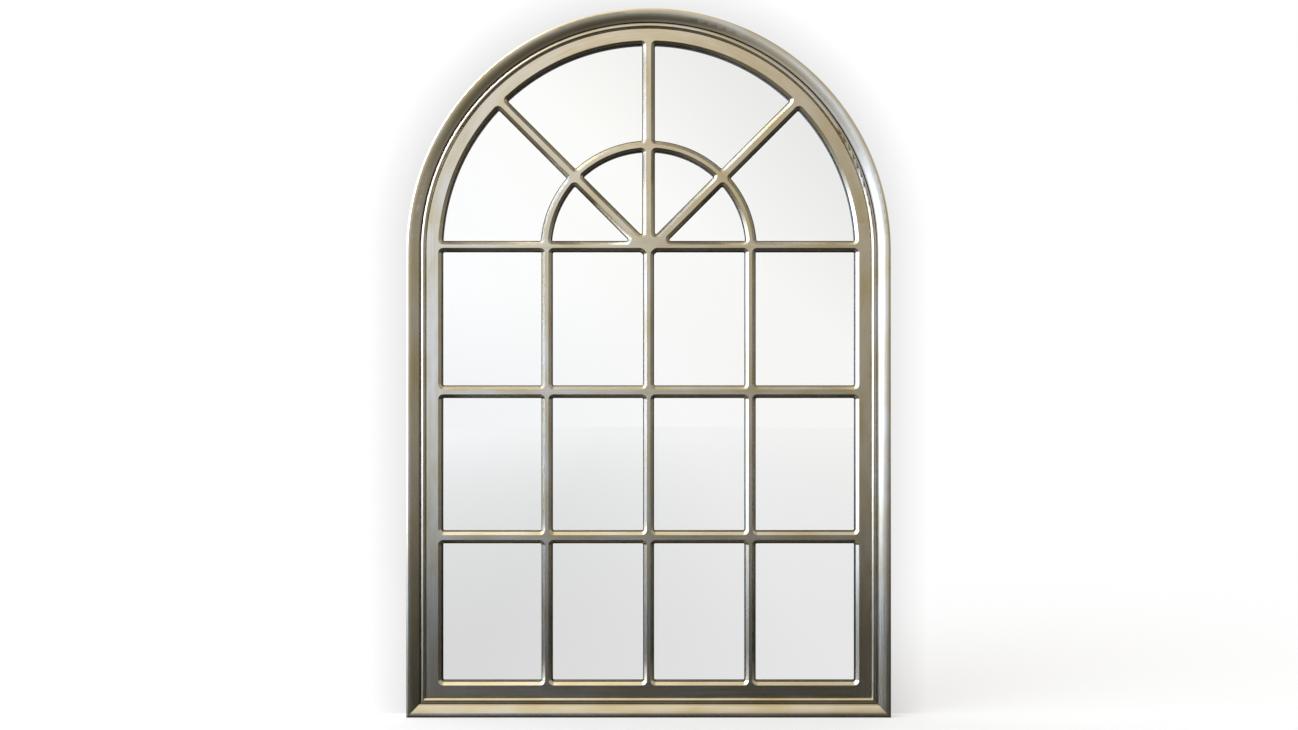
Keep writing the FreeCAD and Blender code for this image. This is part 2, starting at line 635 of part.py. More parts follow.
def build_lattice():
    whole = build_whole_lattice()
    inside = arched_slab("inside_of_bands", SEAM_MARGIN, THROUGH_AND_PAST)
    seam = f"{HALF_WIDTH} - {SEAM_MARGIN}"
    everywhere = (f"-{HALF_WIDTH}", HALF_WIDTH)
    block_top = f"spring_bar_rise + {HALF_BLOCK}"
    block_foot = f"spring_bar_rise - {HALF_BLOCK}"
    foot_seam = f"{FOOT} + {SEAM_MARGIN}"
    let_into_bands = []
    let_into_spring_bar = []

    # Crossbars run from band to band and lie in front where the muntins cross them.
    for name, count in CROSSBARS.items():
        height = crossbar_height(count)
        tongues = [
            side_tongue(f"{name}_{end}_tongue", side, height, HALF_BROAD_BAR)
            for end, side in SIDES.items()
        ]
        let_into_bands += tongues
        strip = block(f"{name}_strip", everywhere, THROUGH_AND_PAST, around(height, HALF_BROAD_BLOCK))
        room = common(f"{name}_room", inside, strip)
        laps = [
            crossing_block(f"{name}_{end}_lap", side, count, BACK_LAP_AND_PAST)
            for end, side in COLUMNS.items()
        ]
        piece = without(f"{name}_space", fuse(f"{name}_reach", room, *tongues), laps)
        sub_part(name, common(name, whole, piece))

    # Muntins run from the bottom band to the spring bar, behind the crossbars.
    for end, side in COLUMNS.items():
        name = f"{end}_muntin"
        upright = (foot_seam, block_foot)
        strip = block(f"{name}_strip", around(column(side), HALF_BLOCK), THROUGH_AND_PAST, upright)
        lower = block(
            f"{name}_foot_tongue",
            around(column(side), HALF_BAR),
            BACK_LAP,
            (f"{foot_seam} - lap_length", f"{foot_seam} + {BEYOND}"),
        )
        upper = block(
            f"{name}_head_tongue",
            around(column(side), HALF_BAR),
            BACK_LAP,
            (f"{block_foot} - {BEYOND}", f"{block_foot} + lap_length"),
        )
        let_into_bands.append(lower)
        let_into_spring_bar.append(upper)
        laps = [
            crossing_block(f"{name}_{bar}_lap", side, count, FRONT_LAP)
            for bar, count in CROSSBARS.items()
        ]
        piece = without(f"{name}_space", fuse(f"{name}_reach", strip, lower, upper), laps)
        sub_part(name, common(name, whole, piece))

    # The ring lies in front of the spokes and stands on the spring bar.
    wide_ring = ring_blank("ring_room", HALF_BLOCK, THROUGH_AND_PAST)
    ring_feet = []
    for end, side in SIDES.items():
        foot = (f"{block_top} - lap_length", f"{block_top} + {BEYOND}")
        across = around(f"({side} * fan_ring_radius)", HALF_BAR)
        ring_feet.append(block(f"ring_{end}_tongue", across, BACK_LAP, foot))
    let_into_spring_bar += ring_feet
    above = block("above_spring_joint", everywhere, THROUGH_AND_PAST, (block_top, HALF_WIDTH))
    laps = [
        radial_block(f"ring_{name}_lap", angle, ("0", seam), BACK_LAP_AND_PAST, HALF_BROAD_BLOCK)
        for name, angle in SPOKES.items()
    ]
    ring_reach = fuse("ring_reach", common("ring_room_above", wide_ring, above), *ring_feet)
    ring_space = without("ring_space", ring_reach, laps)
    sub_part("fan_ring", common("fan_ring", whole, ring_space))

    # Spokes run from the hub to the arched band.
    ring_front = ring_blank("ring_front", HALF_BLOCK, FRONT_LAP)
    hub_room = disc("hub_room", "hub_radius", THROUGH_AND_PAST)
    for name, angle in SPOKES.items():
        full = ("0", HALF_WIDTH)
        strip = radial_block(f"{name}_strip", angle, full, THROUGH_AND_PAST, HALF_BROAD_BLOCK)
        room = cut(f"{name}_room", common(f"{name}_strip_inside", strip, inside), hub_room)
        outer = (f"{seam} - {BEYOND}", f"{seam} + lap_length")
        outer_tongue = radial_block(f"{name}_outer_tongue", angle, outer, BACK_LAP, HALF_BROAD_BAR)
        inner = ("hub_radius - lap_length", f"hub_radius + {BEYOND}")
        inner_tongue = radial_block(f"{name}_inner_tongue", angle, inner, BACK_LAP, HALF_BROAD_BAR)
        let_into_bands.append(outer_tongue)
        let_into_spring_bar.append(inner_tongue)
        reach = fuse(f"{name}_reach", room, outer_tongue, inner_tongue)
        sub_part(name, common(name, whole, cut(f"{name}_space", reach, ring_front)))

    # The spring bar and its hub are one board.
    tongues = [
        side_tongue(f"spring_bar_{end}_tongue", side, "spring_bar_rise", HALF_BAR)
        for end, side in SIDES.items()
    ]
    let_into_bands += tongues
    strip = block("spring_bar_strip", everywhere, THROUGH_AND_PAST, (block_foot, block_top))
    above_foot = block("above_hub_foot", everywhere, THROUGH_AND_PAST, (block_foot, HALF_WIDTH))
    upper_hub = common("upper_hub", hub_room, above_foot)
    reach = fuse("spring_bar_reach", common("spring_bar_room", inside, strip), upper_hub, *tongues)
    space = without("spring_bar_space", reach, let_into_spring_bar)
    sub_part("spring_bar", common("spring_bar", whole, space))

    # The bands: the arched one and the upright ones meet above the springing line, the bottom one stands
    # between the upright ones.
    bands = cut("bands", whole, inside)
    foot_tongues = []
    for end, side in SIDES.items():
        end_of_lap = f"{seam} + lap_length"
        x = (f"-({end_of_lap})", f"-({seam})") if side < 0 else (seam, end_of_lap)
        z = (f"{foot_seam} - lap_length", f"{FOOT} + opening_margin")
        foot_tongues.append(block(f"bottom_band_{end}_tongue", x, BACK_LAP, z))
    bottom_strip = block("bottom_band_strip", (f"-({seam})", seam), THROUGH_AND_PAST, (FOOT, foot_seam))
    bottom_reach = fuse("bottom_band_reach", bottom_strip, *foot_tongues)
    bottom_room = without("bottom_band_space", bottom_reach, let_into_bands)
    sub_part("bottom_band", common("bottom_band", bands, bottom_room))
    arch_strip = block("arch_band_strip", everywhere, THROUGH_AND_PAST, ("band_joint_rise", HALF_WIDTH))
    arch_room = without("arch_band_space", arch_strip, let_into_bands)
    sub_part("arch_band", common("arch_band", bands, arch_room))
    for end, side in SIDES.items():
        name = f"{end}_band"
        outside = (f"-{HALF_WIDTH}", f"-({seam})") if side < 0 else (seam, HALF_WIDTH)
        half = (f"-{HALF_WIDTH}", "0") if side < 0 else ("0", HALF_WIDTH)
        legs = block(f"{name}_strip", outside, THROUGH_AND_PAST, (FOOT, "0"))
        haunch = block(f"{name}_haunch", half, THROUGH_AND_PAST, ("0", "band_joint_rise"))
        room = without(f"{name}_space", fuse(f"{name}_reach", legs, haunch), let_into_bands + foot_tongues)
        sub_part(name, common(name, bands, room))


# ---------------------------------------------------------------------------------------------------------
# Glass, interleaf, back panel and what is on it
# ---------------------------------------------------------------------------------------------------------
def build_filling():
    glass_back = "glass_thickness - rabbet_depth"
    sub_part("mirror_glass", arched_slab("mirror_glass", "glass_margin", (GLASS_FRONT, glass_back)))
    sub_part("interleaf_sheet", arched_slab("interleaf_sheet", "glass_margin", (glass_back, "0")))
    pads = [
        block(
            f"{name}_pad",
            around(f"{side} * pad_distance", "pad_length / 2"),
            (f"{GLASS_FRONT} + pad_inset", f"{glass_back} - pad_inset"),
            (f"{FOOT} + rabbet_margin", f"{FOOT} + glass_margin"),
        )
        for name, side in SIDES.items()
    ]
    sub_part("glass_pads", compound("glass_pads", pads))


def build_back():
    panel = arched_slab("panel_blank", "panel_margin", ("0", PANEL_BACK))
    places = panel_screw_places() + hanger_screw_places()
    through = (f"-{BEYOND}", f"{PANEL_BACK} + {BEYOND}")
    holes = bores("panel_hole", places, "screw_shank_radius + pilot_clearance", through)
    sub_part("back_panel", cut("back_panel", panel, compound("panel_holes", holes)))

    panel_screw = build_screw("panel_screw", "panel_screw_length")
    links = copies("panel_screw_copy", panel_screw, panel_screw_places(), PANEL_BACK)
    sub_part("back_panel_screws", compound("back_panel_screws", links))
    hanger_screw = build_screw("hanger_screw", "hanger_screw_length")
    strap_face = "panel_thickness + strap_thickness"
    links = copies("hanger_screw_copy", hanger_screw, hanger_screw_places(), strap_face)
    sub_part("hanger_screws", compound("hanger_screws", links))

    side_distance = f"({HALF_WIDTH} - bumper_margin)"
    places = [(f"{side} * {side_distance}", f"{FOOT} + bumper_margin") for side in SIDES.values()]
    across = f"{side_distance} * cos({HEAD_BUMPER_ANGLE})"
    up = f"{side_distance} * sin({HEAD_BUMPER_ANGLE})"
    places += [(f"{side} * {across}", up) for side in SIDES.values()]
    bumpers = []
    for index, (x, z) in enumerate(places):
        bumper = doc.addObject("Part::Cone", f"bumper_{index}")
        bumper.Placement = Placement(Vector(), Rotation(Vector(1, 0, 0), -90))
        bind(bumper, Radius1="bumper_radius", Radius2="bumper_tip_radius", Height="bumper_height")
        bind(bumper, Base_x=x, Base_y=PANEL_BACK, Base_z=z)
        bumpers.append(bumper)
    sub_part("wall_bumpers", compound("wall_bumpers", bumpers))


def build_strap(name, side):
    x = f"{side} * hanger_offset"
    hinge_y, hinge_z = f"{PANEL_BACK} + hinge_height", "-hanger_drop"
    low = f"{hinge_z} - strap_length"
    half = "strap_width / 2"
    flat = (PANEL_BACK, f"{PANEL_BACK} + strap_thickness")
    plate = block(f"{name}_plate", around(x, half), flat, (low, hinge_z))
    round_end = disc(f"{name}_end", half, flat, x, low)
    curl = cross_pin(f"{name}_curl", "curl_radius", half, x, hinge_y, hinge_z)
    bore_radius = "wire_radius + wire_clearance"
    bore = cross_pin(f"{name}_bore", bore_radius, f"{half} + {BEYOND}", x, hinge_y, hinge_z)
    past = (f"{PANEL_BACK} - {BEYOND}", f"{flat[1]} + {BEYOND}")
    holes = [
        disc(f"{name}_hole_{index}", "screw_shank_radius + pilot_clearance", past, x, f"{hinge_z} - {drop}")
        for index, drop in enumerate(("upper_screw_drop", "strap_length"))
    ]
    blank = fuse(f"{name}_blank", plate, round_end, curl)
    return cut(name, blank, compound(f"{name}_taken", [bore, *holes]))


def bend(name, radius, x, y, z, turns, angle):
    """A bent length of wire in the XZ plane."""
    torus = doc.addObject("Part::Torus", name)
    rotation = Rotation(Vector(1, 0, 0), 90)
    torus.Placement = Placement(Vector(), rotation.multiply(Rotation(Vector(0, 0, 1), turns)))
    torus.Angle3 = angle
    bind(torus, Radius1=radius, Radius2="wire_radius", Base_x=x, Base_y=y, Base_z=z)
    return torus


def build_ring(name, side):
    """The D of wire: straight through the curl, two tight bends, two short legs and a bow, hanging down."""
    x = f"{side} * hanger_offset"
    y, top = f"{PANEL_BACK} + hinge_height", "-hanger_drop"
    knee = f"{top} - ring_bend"
    foot = f"{knee} - ring_leg"
    pin_half = "(ring_radius - ring_bend)"
    pieces = [cross_pin(f"{name}_pin", "wire_radius", pin_half, x, y, top)]
    for end, direction in SIDES.items():
        turns = 0 if direction > 0 else 90
        centre = f"{x} + {direction} * {pin_half}"
        pieces.append(bend(f"{name}_{end}_bend", "ring_bend", centre, y, knee, turns, 90))
        leg = doc.addObject("Part::Cylinder", f"{name}_{end}_leg")
        bind(leg, Radius="wire_radius", Height="ring_leg")
        bind(leg, Base_x=f"{x} + {direction} * ring_radius", Base_y=y, Base_z=foot)
        pieces.append(leg)
    pieces.append(bend(f"{name}_bow", "ring_radius", x, y, foot, 180, 180))
    return fuse(name, *pieces)


def build_hangers():
    for end, side in SIDES.items():
        sub_part(f"{end}_hanger_strap", build_strap(f"{end}_hanger_strap", side))
        sub_part(f"{end}_hanger_ring", build_ring(f"{end}_hanger_ring", side))


# ---------------------------------------------------------------------------------------------------------
# Assembly
# ---------------------------------------------------------------------------------------------------------
build_moulding()
build_lattice()
build_filling()
build_back()
build_hangers()

for piece in SUB_PARTS.values():
    bind(piece, Base_y="-(panel_thickness + bumper_height)", Base_z="(frame_height - frame_width) / 2")
doc.recompute()

failed = [thing.Name for thing in doc.Objects if {"Invalid", "Error"} & set(thing.State)]
if failed:
    raise RuntimeError(f"these did not build: {failed}")
for name, piece in SUB_PARTS.items():
    if piece.Shape.isNull() or not piece.Shape.isValid() or not piece.Shape.Solids:
        raise RuntimeError(f"{name} is not a valid solid")
for name, piece in SUB_PARTS.items():
    piece.Shape.exportStep(os.path.join("parts", f"{name}.step"))
    solids = len(piece.Shape.Solids)
    print(f"{name}: {solids} solid{'s' if solids > 1 else ''}, {piece.Shape.Volume / 1000:.1f} cm3")
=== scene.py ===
# %% [markdown]
# # An arched window mirror
# The real thing is a wall mirror built like a sash window: a moulded wooden frame with a round head, a flat
# lattice of bevelled bars let into its face, and one sheet of mirror glass behind the lattice. All the
# wooden pieces come from the CAD frame with their true shapes. What is added here is what the eye reads as
# material: a satin champagne finish, a glass with its silver on the far side, and plain parts at the back.

# %% Load the frame
import math

import bpy
import numpy as np
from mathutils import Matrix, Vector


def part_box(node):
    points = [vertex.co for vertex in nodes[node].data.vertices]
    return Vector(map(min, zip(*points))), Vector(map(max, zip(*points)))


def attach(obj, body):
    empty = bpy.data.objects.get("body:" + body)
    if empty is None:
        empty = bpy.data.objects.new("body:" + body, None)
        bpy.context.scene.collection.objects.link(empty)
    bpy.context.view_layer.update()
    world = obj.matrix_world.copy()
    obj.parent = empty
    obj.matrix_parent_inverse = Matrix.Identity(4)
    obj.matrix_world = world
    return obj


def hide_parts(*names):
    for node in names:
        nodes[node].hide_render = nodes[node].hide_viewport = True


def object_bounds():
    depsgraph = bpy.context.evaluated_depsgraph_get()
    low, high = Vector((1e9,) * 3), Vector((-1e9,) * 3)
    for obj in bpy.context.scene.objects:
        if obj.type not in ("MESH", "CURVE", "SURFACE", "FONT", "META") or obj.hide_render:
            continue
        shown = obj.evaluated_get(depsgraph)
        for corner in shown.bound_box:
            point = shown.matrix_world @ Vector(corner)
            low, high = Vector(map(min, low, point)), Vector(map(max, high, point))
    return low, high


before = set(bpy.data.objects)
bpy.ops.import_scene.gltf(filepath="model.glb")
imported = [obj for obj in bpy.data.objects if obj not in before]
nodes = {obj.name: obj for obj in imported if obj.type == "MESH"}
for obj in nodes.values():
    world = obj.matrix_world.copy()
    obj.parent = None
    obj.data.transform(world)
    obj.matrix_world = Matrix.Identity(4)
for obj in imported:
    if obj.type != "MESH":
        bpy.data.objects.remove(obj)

cad_low, cad_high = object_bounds()
print("CAD pieces:", len(nodes), "in a box of", [round(side, 4) for side in cad_high - cad_low], "m")

# %% [markdown]
# ## Measures
# Everything below is placed by the frame, so only the few sizes that a finish needs are worked out here:
# the half width, and the centre that the round head is struck from. The head is half a circle as wide as
# the mirror, so its centre lies half the width below the crown.

# %% Half width and arch centre
MM = 0.001
half_width = (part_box("right_stile")[1].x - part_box("left_stile")[0].x) / 2
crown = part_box("outer_arch")[1].z
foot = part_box("bottom_rail")[0].z
arch_z = crown - half_width
print(f"half width {half_width:.3f} m, arch centre at {arch_z:.4f} m, foot at {foot:.4f} m")

# %% [markdown]
# ## Small helpers
# Colours are written as the hex codes of a paint chart. A renderer adds light, and light adds up only in
# linear numbers, so one function turns a code into those. A material is a small graph, and the second
# function adds one node to it, sets it and links it, so that a finish reads like its recipe. Sockets go by
# name or number. In a map range, 1 and 2 are the limits of what comes in, 3 and 4 of what goes out, and a
# smooth one starts and ends gently.


# %% Colour and node helpers
def linear(code):
    """Each sRGB channel c becomes c / 12.92 near black and ((c + 0.055) / 1.055) to the power 2.4 above."""
    channels = np.array([int(code[i : i + 2], 16) for i in (1, 3, 5)]) / 255
    low = channels / 12.92
    high = ((channels + 0.055) / 1.055) ** 2.4
    return (*np.where(channels <= 0.04045, low, high), 1.0)


def add(tree, kind, inputs=None, **settings):
    """Adds a node, sets its properties, and fills its sockets by a link or with a plain value."""
    node = tree.nodes.new(kind)
    for name, value in settings.items():
        setattr(node, name, value)
    for socket, value in (inputs or {}).items():
        if isinstance(value, bpy.types.NodeSocket):
            tree.links.new(value, node.inputs[socket])
        else:
            node.inputs[socket].default_value = value
    return node


def empty_tree(owner):
    """Turns on the nodes of a material or world and clears them."""
    owner.use_nodes = True
    owner.node_tree.nodes.clear()
    return owner.node_tree


def new_material(name):
    """An empty node material, with its tree and its shader, already joined to the output."""
    material = bpy.data.materials.new(name)
    tree = empty_tree(material)
    shader = add(tree, "ShaderNodeBsdfPrincipled")
    add(tree, "ShaderNodeOutputMaterial", {"Surface": shader.outputs["BSDF"]})
    return material, tree, shader


def dress(material, *names):
    """Puts one material on the named CAD pieces."""
    for name in names:
        for place in nodes[name].material_slots:
            place.material = material


SMOOTH = {"interpolation_type": "SMOOTHSTEP"}
print("white is", linear("#FFFFFF")[:3])

# %% [markdown]
# ## The champagne finish
# The wood is sealed, rubbed smooth and sprayed with a lacquer that carries metal flake, warm silver in
# colour, then wiped lengthwise while it is soft. That gives a satin metal: it takes its brightness from what
# it faces, so each bevel has its own tone. It could be painted as a flat beige, but then the bevels would
# all look alike. So it is a metal with a moderate roughness, and three patterns from the wiping: fine streaks
# along each piece, broad patches where the flake lies warmer, and a slight waviness of the rubbed ground.
# At the foot of each bar and in the quirk, painted shade darkens the film.
#
# The streaks have to follow each piece, also round the head. So the pattern's coordinates are made to fit:
# along the piece, across it, and its depth. On a straight piece that is a turn of the object's own axes, and
# on a curved one the angle about the arch centre times the radius.

# %% Coordinates along a piece
RING_RADIUS = 0.19
HEAD_RADIUS = 0.41


def straight_grain(tree, degrees):
    """Object coordinates turned about Y, so that the first one runs at that angle above the horizontal."""
    place = add(tree, "ShaderNodeTexCoord").outputs["Object"]
    turned = add(
        tree,
        "ShaderNodeVectorRotate",
        {"Vector": place, "Center": (0, 0, arch_z), "Angle": math.radians(degrees)},
        rotation_type="Y_AXIS",
    )
    parts = add(tree, "ShaderNodeSeparateXYZ", {0: turned.outputs[0]}).outputs
    return parts["X"], parts["Z"], parts["Y"]


def arched_grain(tree, radius):
    """Round the arch centre: angle times radius, distance from the centre, and depth."""
    place = add(tree, "ShaderNodeTexCoord").outputs["Object"]
    parts = add(tree, "ShaderNodeSeparateXYZ", {0: place}).outputs
    up = add(tree, "ShaderNodeMath", {0: parts["Z"], 1: arch_z}, operation="SUBTRACT").outputs[0]
    angle = add(tree, "ShaderNodeMath", {0: up, 1: parts["X"]}, operation="ARCTAN2").outputs[0]
    along = add(tree, "ShaderNodeMath", {0: angle, 1: radius}, operation="MULTIPLY").outputs[0]
    flat = add(tree, "ShaderNodeCombineXYZ", {"X": parts["X"], "Y": up}).outputs[0]
    across = add(tree, "ShaderNodeVectorMath", {0: flat}, operation="LENGTH").outputs["Value"]
    return along, across, parts["Y"]


print(f"ring grain on a radius of {RING_RADIUS} m, head grain on {HEAD_RADIUS} m")

# %% [markdown]
# ### How far in from the outline
# The quirk beside the bead keeps one distance from the outline all the way round, and so does the shade
# that the mirror leaves on its wall. Both come from one rule. Below the arch centre only the sideways
# distance counts and above it the distance from that centre, so the height is cut off at zero first.


# %% Margin
def margin(tree):
    """Half the width, less the length of (X, height above the arch centre or 0); the foot may be nearer."""
    place = add(tree, "ShaderNodeTexCoord").outputs["Object"]
    parts = add(tree, "ShaderNodeSeparateXYZ", {0: place}).outputs
    rise = add(tree, "ShaderNodeMath", {0: parts["Z"], 1: arch_z}, operation="SUBTRACT").outputs[0]
    up = add(tree, "ShaderNodeMath", {0: rise, 1: 0.0}, operation="MAXIMUM").outputs[0]
    flat = add(tree, "ShaderNodeCombineXYZ", {"X": parts["X"], "Y": up}).outputs[0]
    reach = add(tree, "ShaderNodeVectorMath", {0: flat}, operation="LENGTH").outputs["Value"]
    inwards = add(tree, "ShaderNodeMath", {0: half_width, 1: reach}, operation="SUBTRACT").outputs[0]
    upwards = add(tree, "ShaderNodeMath", {0: parts["Z"], 1: foot}, operation="SUBTRACT").outputs[0]
    return add(tree, "ShaderNodeMath", {0: inwards, 1: upwards}, operation="MINIMUM").outputs[0]


print("margins are counted from a half width of", round(half_width, 3), "m")

# %% [markdown]
# ### Painted shade at the bars' feet and in the quirk
# The colour turns dark on the steep part of each bevel, 6 mm above the glass, so that seen from the front
# each bar has a thin dark foot of painted shade. That line sets it off from its reflection. On the outer
# moulding painted shade also lies in the quirk, the narrow cut beside the first reed, and thins out towards
# the bead.

# %% Painted shade lines
# Colour of the painted shade at the bars' feet and in the quirk
PAINTED_SHADE = "#14110D"
# Painted shade on the bars' feet, from this far in front of the glass back to it
FOOT_HEIGHT = 6.3 * MM
FOOT_BLUR = 0.3 * MM
COVE_MARGIN, QUIRK_MARGIN, REED_MARGIN = 21.5 * MM, 24.8 * MM, 26.0 * MM
# How dark the painted shade gets at the quirk
QUIRK_SHADE_SHARE = 0.55
bevel_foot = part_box("mirror_glass")[0].y - FOOT_HEIGHT


def painted_foot_shade(tree, depth):
    """Painted shade at a bar's foot: 0 on the film and 1 on the bevel's foot, crossing at the depth where it
    begins.
    """
    limits = {1: bevel_foot - FOOT_BLUR, 2: bevel_foot + FOOT_BLUR, 3: 0.0, 4: 1.0}
    return add(tree, "ShaderNodeMapRange", {"Value": depth, **limits}).outputs[0]


def painted_quirk_shade(tree):
    """Painted shade in the quirk: rises from 0 in the cove to its full share at the quirk, and stops at the
    first reed.
    """
    inwards = margin(tree)
    limits = {1: COVE_MARGIN, 2: QUIRK_MARGIN, 3: 0.0, 4: QUIRK_SHADE_SHARE}
    rise = add(tree, "ShaderNodeMapRange", {"Value": inwards, **limits}).outputs[0]
    stop = add(tree, "ShaderNodeMath", {0: inwards, 1: REED_MARGIN}, operation="LESS_THAN").outputs[0]
    return add(tree, "ShaderNodeMath", {0: rise, 1: stop}, operation="MULTIPLY").outputs[0]


print(f"the film ends {bevel_foot:.4f} m along Y, the quirk is {QUIRK_MARGIN:.4f} m in")

# %% [markdown]
# ### The recipe
# A wiping cloth leaves streaks about 1.5 mm apart and 150 mm long. The warm patches are about 90 mm long,
# and the ground waves by a few hundredths of a millimetre every 25 mm. Two tones of the same metal are
# mixed by these, with the warm one in the patches, and the streaks also change how rough the film is.

# %% Patterns and colour of the lacquer
PALE_FLAKE = "#DAD5CA"
WARM_FLAKE = "#C9BC97"
STREAK = (150 * MM, 1.5 * MM)
PATCH = (90 * MM, 30 * MM)
WAVE = (75 * MM, 25 * MM)
PATCH_SHARE = 0.8
STREAK_SHARE = (-0.12, 0.2)


def stretched(tree, grain, along, across):
    """The grain's coordinates counted in pattern widths, so that a noise of scale 1 has that size."""
    sizes = (along, across, across)
    scaled = [
        add(tree, "ShaderNodeMath", {0: value, 1: size}, operation="DIVIDE").outputs[0]
        for value, size in zip(grain, sizes)
    ]
    return add(tree, "ShaderNodeCombineXYZ", dict(zip("XYZ", scaled))).outputs[0]


def film_colour(tree, streaks, patches, dark):
    """Warm share = patches + streaks, kept from 0 to 1; then the dark share of it is painted shade."""
    patched = add(tree, "ShaderNodeMapRange", {"Value": patches, 1: 0.35, 2: 0.75, 3: 0.0, 4: PATCH_SHARE})
    limits = {1: 0.3, 2: 0.7, 3: STREAK_SHARE[0], 4: STREAK_SHARE[1]}
    streaked = add(tree, "ShaderNodeMapRange", {"Value": streaks, **limits})
    shares = {0: patched.outputs[0], 1: streaked.outputs[0]}
    warmth = add(tree, "ShaderNodeMath", shares, operation="ADD", use_clamp=True).outputs[0]
    tones = {"Factor": warmth, "A": linear(PALE_FLAKE), "B": linear(WARM_FLAKE)}
    flake = add(tree, "ShaderNodeMix", tones, data_type="RGBA").outputs["Result"]
    tones = {"Factor": dark, "A": flake, "B": linear(PAINTED_SHADE)}
    return add(tree, "ShaderNodeMix", tones, data_type="RGBA").outputs["Result"]


print("streaks of", STREAK, "m and patches of", PATCH, "m")

# %% [markdown]
# The surface is raised in two steps. The waves come first and the streaks ride on them, which is done by
# handing the normal of the first bump to the second. The roughness follows the streaks, because the flake
# lies flatter where the cloth has pressed.

# %% Champagne lacquer
SATIN = (0.18, 0.26)
STREAK_HEIGHT = 0.012 * MM
WAVE_HEIGHT = 0.15 * MM


def champagne_lacquer(name, make_grain, direction, on_lattice):
    """Three noises along the grain: streaks and patches set the colour, streaks and waves the surface;
    painted shade darkens a bar's foot or the quirk.
    """
    material, tree, shader = new_material(name)
    grain = make_grain(tree, direction)
    noises = []
    for size, detail in ((STREAK, 3), (PATCH, 2), (WAVE, 1)):
        place = stretched(tree, grain, *size)
        noise = add(tree, "ShaderNodeTexNoise", {"Vector": place, "Scale": 1, "Detail": detail})
        noises.append(noise.outputs[0])
    streaks, patches, waves = noises
    # Painted shade: at the bars' feet on the lattice, in the quirk on the moulding
    dark = painted_foot_shade(tree, grain[2]) if on_lattice else painted_quirk_shade(tree)
    colour = film_colour(tree, streaks, patches, dark)
    satin = add(tree, "ShaderNodeMapRange", {"Value": streaks, 1: 0.3, 2: 0.7, 3: SATIN[0], 4: SATIN[1]})
    ground = add(tree, "ShaderNodeBump", {"Height": waves, "Distance": WAVE_HEIGHT}).outputs[0]
    ridges = {"Height": streaks, "Distance": STREAK_HEIGHT, "Normal": ground}
    wiped = add(tree, "ShaderNodeBump", ridges).outputs[0]
    tree.links.new(colour, shader.inputs["Base Color"])
    tree.links.new(satin.outputs[0], shader.inputs["Roughness"])
    tree.links.new(wiped, shader.inputs["Normal"])
    shader.inputs["Metallic"].default_value = 1.0
    return material


# One finish for each direction of grain, on the moulding and on the lattice
MOULDING = {
    champagne_lacquer("champagne_lacquer_stile", straight_grain, 90, False): ("left_stile", "right_stile"),
    champagne_lacquer("champagne_lacquer_rail", straight_grain, 0, False): ("bottom_rail",),
    champagne_lacquer("champagne_lacquer_arch", arched_grain, HEAD_RADIUS, False): ("outer_arch",),
}
LATTICE = {
    champagne_lacquer("champagne_lacquer_upright", straight_grain, 90, True): (
        *("left_band", "right_band", "centre_spoke"),
        *("left_muntin", "centre_muntin", "right_muntin"),
    ),
    champagne_lacquer("champagne_lacquer_level", straight_grain, 0, True): (
        *("bottom_band", "spring_bar", "upper_crossbar", "lower_crossbar"),
    ),
    champagne_lacquer("champagne_lacquer_head", arched_grain, HEAD_RADIUS, True): ("arch_band",),
    champagne_lacquer("champagne_lacquer_ring", arched_grain, RING_RADIUS, True): ("fan_ring",),
    champagne_lacquer("champagne_lacquer_rising", straight_grain, 45, True): ("right_spoke",),
    champagne_lacquer("champagne_lacquer_falling", straight_grain, -45, True): ("left_spoke",),
}
for finish, names in {**MOULDING, **LATTICE}.items():
    dress(finish, *names)
print(f"champagne lacquer on {len(MOULDING)} kinds of moulding and {len(LATTICE)} kinds of bar")

# %% [markdown]
# ## The mirror glass
# A mirror is a clear sheet with silver on its far side, here 4 mm back. The quick way is one chrome slab, but
# then the bars seem to stand on the silver itself. On a real one they stand on clear glass, and beside each
# bar a thin dark line shows, where its foot meets its own reflection. So the sheet is closed clear glass, and
# only its back face is silver.
#
# Its outline is the frame's, drawn in: a half circle on top of two straight sides. The points of the half
# circle come from one sweep of angles, and the two lower corners close it.

# %% Outline of the sheet
SHEET_STEPS = 256


def arched_outline(half, bottom, steps):
    """Points (half cos t, arch_z + half sin t) for t from 0 to a half turn, then the two lower corners."""
    angle = np.linspace(0, math.pi, steps)
    head = np.column_stack([half * np.cos(angle), arch_z + half * np.sin(angle)])
    corners = np.array([[-half, bottom], [half, bottom]])
    return np.vstack([head, corners])


sheet_low, sheet_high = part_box("mirror_glass")
outline = arched_outline(sheet_high.x, sheet_low.z, SHEET_STEPS)
print("outline of", len(outline), "points")

# %% [markdown]
# The sheet is closed from that outline at two depths. Its front and back are one flat polygon each, because
# a polygon that is truly flat reflects without a ripple, and the back one alone gets the silver.


# %% The sheet and its two surfaces
def closed_sheet(name, outline, front, back):
    """The outline at two depths; both faces are one polygon, and each edge of the outline is one side."""
    count = len(outline)
    depths = np.repeat([front, back], count)
    points = np.column_stack([np.tile(outline[:, 0], 2), depths, np.tile(outline[:, 1], 2)])
    here = np.arange(count)
    after = np.roll(here, -1)
    sides = np.column_stack([here, here + count, after + count, after])
    faces = [here.tolist(), (here + count)[::-1].tolist(), *sides.tolist()]
    mesh = bpy.data.meshes.new(name)
    mesh.from_pydata(points.tolist(), [], faces)
    mesh.update()
    piece = bpy.data.objects.new(name, mesh)
    bpy.context.scene.collection.objects.link(piece)
    return piece


